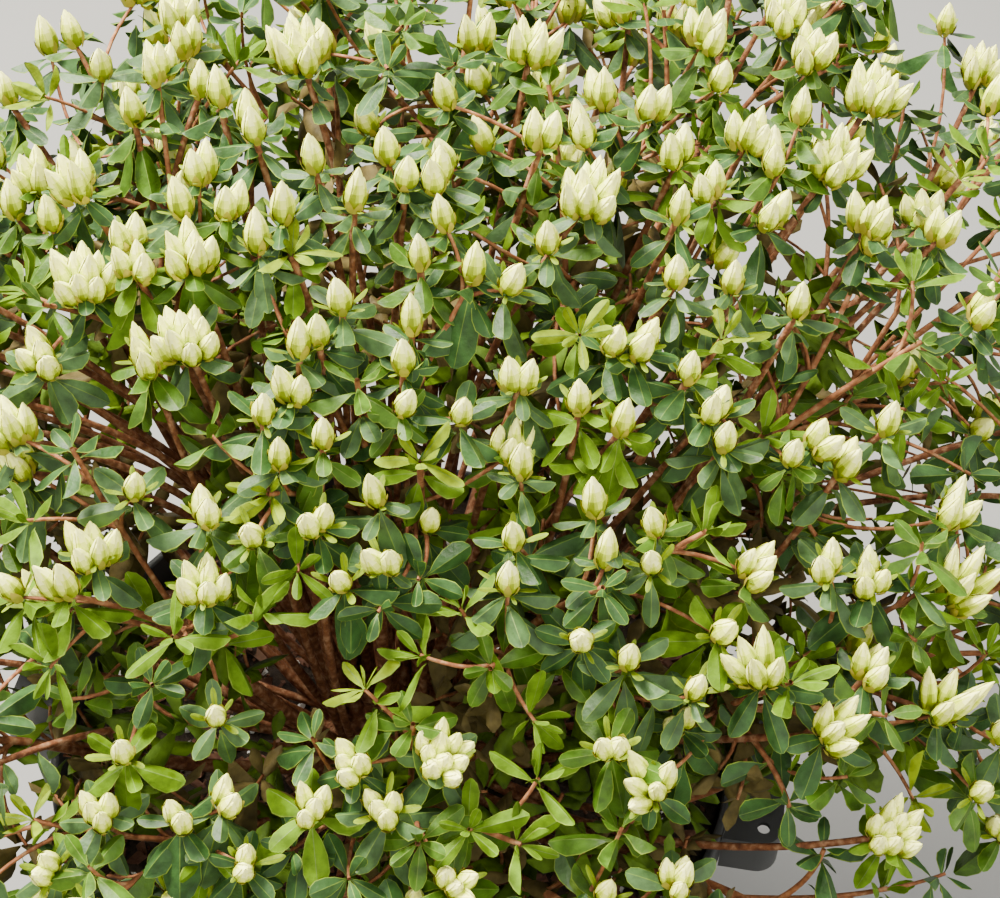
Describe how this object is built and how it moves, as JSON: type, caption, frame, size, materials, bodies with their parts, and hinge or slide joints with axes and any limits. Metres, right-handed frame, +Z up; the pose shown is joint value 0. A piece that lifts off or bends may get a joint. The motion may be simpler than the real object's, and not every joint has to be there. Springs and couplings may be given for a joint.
{
  "type": "potted azalea shrub",
  "caption": "Evergreen azalea shrub in white bud, many slender stems fanning from one stool, in a round nursery pot with two ears.",
  "frame": {"origin": "centre of the pot's flat underside", "axes": "+Z up through the pot and the shrub, -Y towards the viewer of the picture, +X to that viewer's right"},
  "size_m": [0.7536, 0.7112, 0.6592],
  "materials": {
    "pot_plastic": "moulded, semi-matte",
    "compost": "loose bark compost with white grit",
    "bark": "thin flaking bark",
    "foliage": "satin leaves with cream buds"
  },
  "bodies": {
    "root": {"pot": "pot_plastic", "pot_ear_right": "pot_plastic", "pot_ear_left": "pot_plastic", "compost": "compost", "stool": "bark", "stem_01": "bark", "foliage_01": "foliage", "stem_02": "bark", "foliage_02": "foliage", "stem_03": "bark", "foliage_03": "foliage", "stem_04": "bark", "foliage_04": "foliage", "stem_05": "bark", "foliage_05": "foliage", "stem_06": "bark", "foliage_06": "foliage", "stem_07": "bark", "foliage_07": "foliage", "stem_08": "bark", "foliage_08": "foliage", "stem_09": "bark", "foliage_09": "foliage", "stem_10": "bark", "foliage_10": "foliage", "stem_11": "bark", "foliage_11": "foliage", "stem_12": "bark", "foliage_12": "foliage", "stem_13": "bark", "foliage_13": "foliage", "stem_14": "bark", "foliage_14": "foliage", "stem_15": "bark", "foliage_15": "foliage", "stem_16": "bark", "foliage_16": "foliage", "stem_17": "bark", "foliage_17": "foliage", "stem_18": "bark", "foliage_18": "foliage", "stem_19": "bark", "foliage_19": "foliage", "stem_20": "bark", "foliage_20": "foliage", "stem_21": "bark", "foliage_21": "foliage", "stem_22": "bark", "foliage_22": "foliage", "stem_23": "bark", "foliage_23": "foliage", "stem_24": "bark", "foliage_24": "foliage", "stem_25": "bark", "foliage_25": "foliage"}
  },
  "joints": []
}
